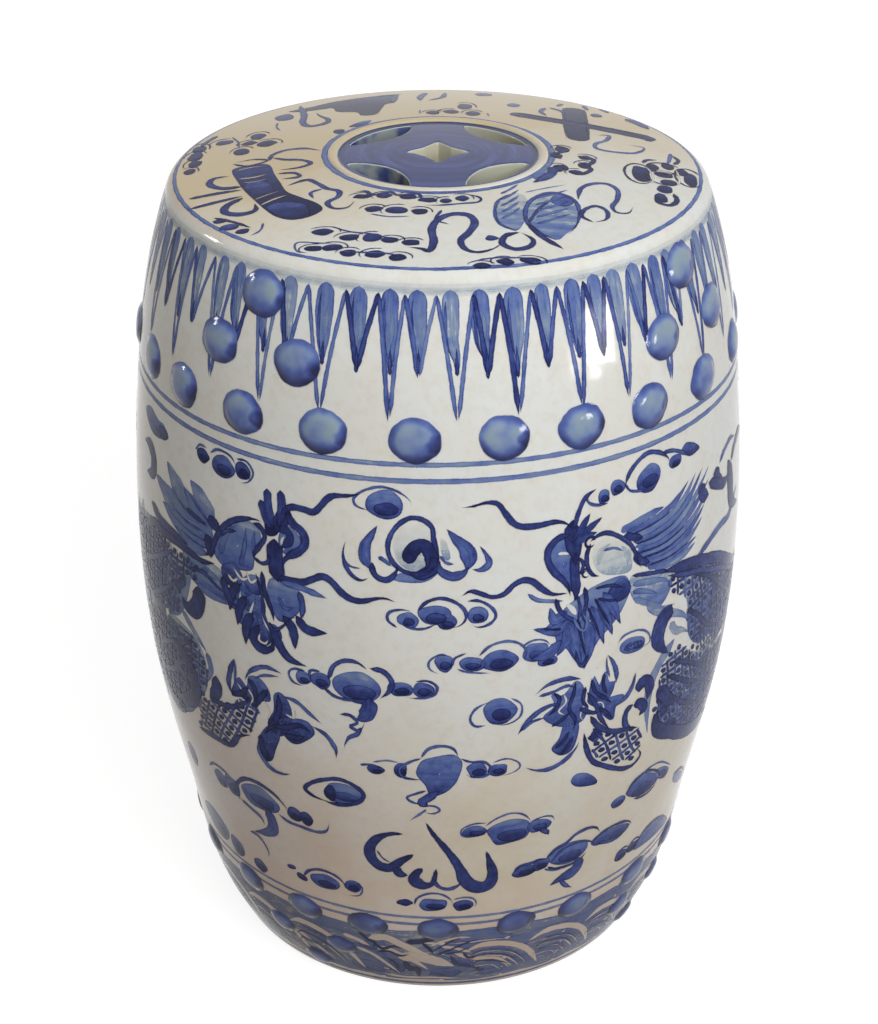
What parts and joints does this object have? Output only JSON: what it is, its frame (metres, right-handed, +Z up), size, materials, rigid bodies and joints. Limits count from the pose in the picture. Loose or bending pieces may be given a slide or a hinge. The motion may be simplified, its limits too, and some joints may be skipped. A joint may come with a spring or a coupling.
{
  "type": "garden stool",
  "caption": "Hollow barrel-shaped glazed ceramic garden stool with an open base, a crowned seat, a pierced coin medallion and raised bosses on its wall.",
  "frame": {"origin": "centre of the foot rim, on the ground", "axes": "+Z up along the axis the drum was turned on, -Y towards the front of the painted decoration, +X to its right as seen from the front"},
  "size_m": [0.336, 0.336, 0.4555],
  "materials": {
    "white_glaze": "off-white glaze, glossy, with cobalt painting under it",
    "cobalt_wash": "mid-blue cobalt wash under glossy glaze",
    "cobalt_glaze": "deep cobalt blue under glossy glaze, with an off-white rim"
  },
  "bodies": {
    "root": {"barrel_lower": "white_glaze", "barrel_upper": "white_glaze", "seat_plate": "white_glaze", "coin_medallion": "cobalt_glaze", "upper_boss_01": "cobalt_wash", "upper_boss_02": "cobalt_wash", "upper_boss_03": "cobalt_wash", "upper_boss_04": "cobalt_wash", "upper_boss_05": "cobalt_wash", "upper_boss_06": "cobalt_wash", "upper_boss_07": "cobalt_wash", "upper_boss_08": "cobalt_wash", "upper_boss_09": "cobalt_wash", "upper_boss_10": "cobalt_wash", "upper_boss_11": "cobalt_wash", "upper_boss_12": "cobalt_wash", "upper_boss_13": "cobalt_wash", "upper_boss_14": "cobalt_wash", "upper_boss_15": "cobalt_wash", "upper_boss_16": "cobalt_wash", "upper_boss_17": "cobalt_wash", "upper_boss_18": "cobalt_wash", "upper_boss_19": "cobalt_wash", "upper_boss_20": "cobalt_wash", "upper_boss_21": "cobalt_wash", "upper_boss_22": "cobalt_wash", "cluster_boss_01": "cobalt_wash", "cluster_boss_02": "cobalt_wash", "cluster_boss_03": "cobalt_wash", "cluster_boss_04": "cobalt_wash", "cluster_boss_05": "cobalt_wash", "cluster_boss_06": "cobalt_wash", "cluster_boss_07": "cobalt_wash", "cluster_boss_08": "cobalt_wash", "cluster_boss_09": "cobalt_wash", "cluster_boss_10": "cobalt_wash", "cluster_boss_11": "cobalt_wash", "cluster_boss_12": "cobalt_wash", "lower_boss_01": "cobalt_wash", "lower_boss_02": "cobalt_wash", "lower_boss_03": "cobalt_wash", "lower_boss_04": "cobalt_wash", "lower_boss_05": "cobalt_wash", "lower_boss_06": "cobalt_wash", "lower_boss_07": "cobalt_wash", "lower_boss_08": "cobalt_wash", "lower_boss_09": "cobalt_wash", "lower_boss_10": "cobalt_wash", "lower_boss_11": "cobalt_wash", "lower_boss_12": "cobalt_wash", "lower_boss_13": "cobalt_wash", "lower_boss_14": "cobalt_wash", "lower_boss_15": "cobalt_wash", "lower_boss_16": "cobalt_wash", "lower_boss_17": "cobalt_wash", "lower_boss_18": "cobalt_wash", "lower_boss_19": "cobalt_wash", "lower_boss_20": "cobalt_wash", "lower_boss_21": "cobalt_wash"}
  },
  "joints": []
}
